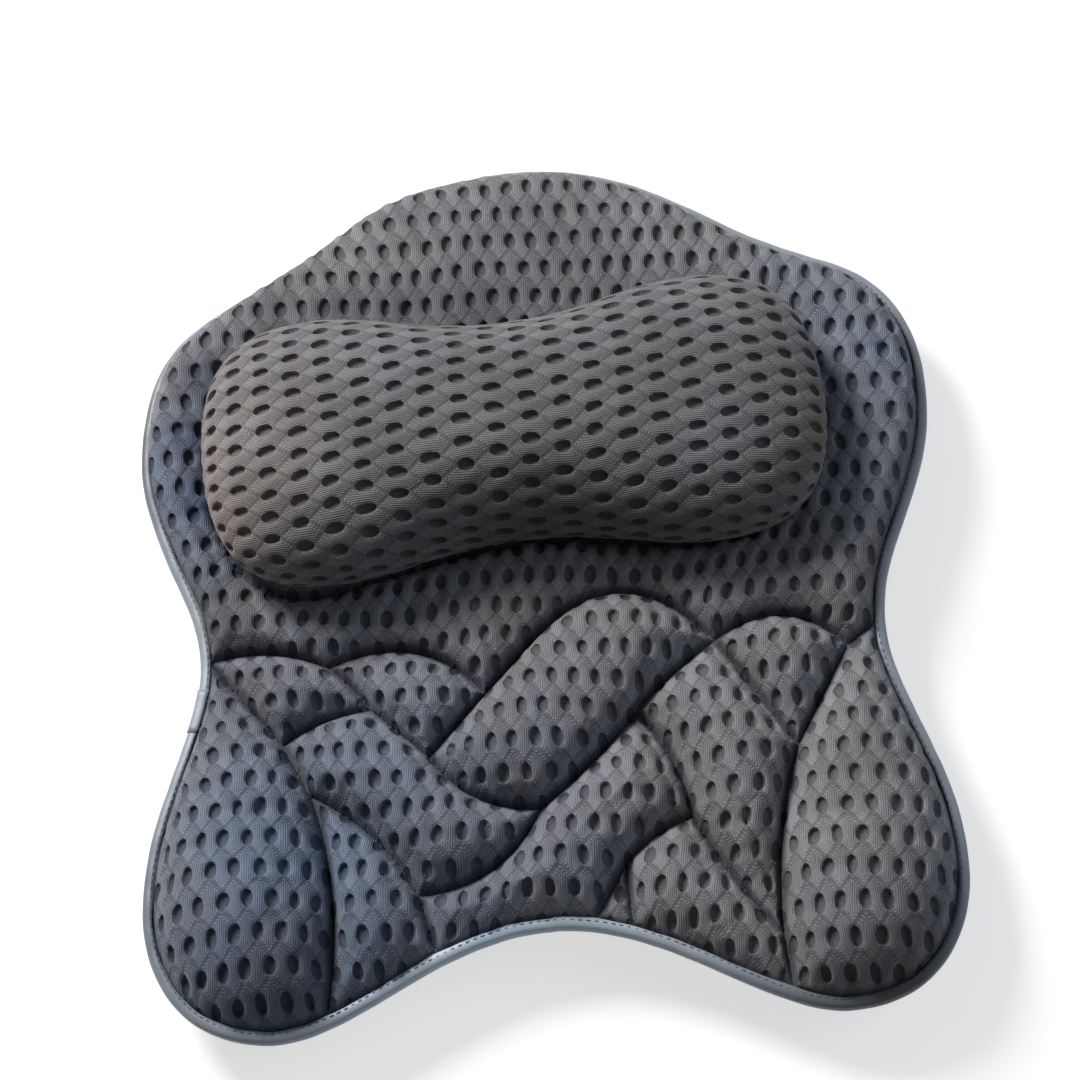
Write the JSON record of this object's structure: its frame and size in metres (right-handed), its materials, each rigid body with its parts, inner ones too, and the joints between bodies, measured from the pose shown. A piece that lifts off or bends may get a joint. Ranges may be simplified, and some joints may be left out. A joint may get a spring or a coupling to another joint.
{
  "type": "bath pillow",
  "caption": "Butterfly-shaped quilted bath pillow of grey air mesh with a sewn-on dog-bone neck roll, taped edge and suction cups buttoned through its back.",
  "frame": {"origin": "middle of the pillow's outline, in the plane of the suction cups' lips", "axes": "+Z out of the front face, +Y to the head end above the neck roll, +X to the right as seen from the front"},
  "size_m": [0.36, 0.416, 0.088],
  "materials": {
    "grey_mesh": "matt knitted spacer mesh, mid grey",
    "white_fibre": "bonded polyester fibre, off-white",
    "binding_tape": "smooth woven binding tape, grey with a satin sheen",
    "soft_vinyl": "clear soft vinyl, glossy",
    "eyelet_plastic": "moulded grey plastic, satin"
  },
  "bodies": {
    "pad": {"back_mesh_panel": "grey_mesh", "core_batting": "white_fibre", "quilt_lining": "white_fibre", "quilt_wadding": "white_fibre", "front_mesh_panel": "grey_mesh", "edge_binding": "binding_tape", "neck_roll_base": "white_fibre", "neck_roll_filling": "white_fibre", "neck_roll_cover": "grey_mesh", "eyelet_upper_left": "eyelet_plastic", "eyelet_washer_upper_left": "eyelet_plastic", "eyelet_upper_right": "eyelet_plastic", "eyelet_washer_upper_right": "eyelet_plastic", "eyelet_middle_left": "eyelet_plastic", "eyelet_washer_middle_left": "eyelet_plastic", "eyelet_middle_right": "eyelet_plastic", "eyelet_washer_middle_right": "eyelet_plastic", "eyelet_lower_left": "eyelet_plastic", "eyelet_washer_lower_left": "eyelet_plastic", "eyelet_lower_right": "eyelet_plastic", "eyelet_washer_lower_right": "eyelet_plastic"},
    "cup_upper_left": {"suction_cup_upper_left": "soft_vinyl"},
    "cup_upper_right": {"suction_cup_upper_right": "soft_vinyl"},
    "cup_middle_left": {"suction_cup_middle_left": "soft_vinyl"},
    "cup_middle_right": {"suction_cup_middle_right": "soft_vinyl"},
    "cup_lower_left": {"suction_cup_lower_left": "soft_vinyl"},
    "cup_lower_right": {"suction_cup_lower_right": "soft_vinyl"}
  },
  "joints": [
    {"name": "cup_turn_upper_left", "type": "hinge", "parent": "pad", "child": "cup_upper_left", "pos_m": [-0.115, 0.095, 0], "axis": [0, 0, 1], "continuous": true},
    {"name": "cup_turn_upper_right", "type": "hinge", "parent": "pad", "child": "cup_upper_right", "pos_m": [0.115, 0.095, 0], "axis": [0, 0, 1], "continuous": true},
    {"name": "cup_turn_middle_left", "type": "hinge", "parent": "pad", "child": "cup_middle_left", "pos_m": [-0.082, -0.022, 0], "axis": [0, 0, 1], "continuous": true},
    {"name": "cup_turn_middle_right", "type": "hinge", "parent": "pad", "child": "cup_middle_right", "pos_m": [0.082, -0.022, 0], "axis": [0, 0, 1], "continuous": true},
    {"name": "cup_turn_lower_left", "type": "hinge", "parent": "pad", "child": "cup_lower_left", "pos_m": [-0.122, -0.15, 0], "axis": [0, 0, 1], "continuous": true},
    {"name": "cup_turn_lower_right", "type": "hinge", "parent": "pad", "child": "cup_lower_right", "pos_m": [0.122, -0.15, 0], "axis": [0, 0, 1], "continuous": true}
  ]
}
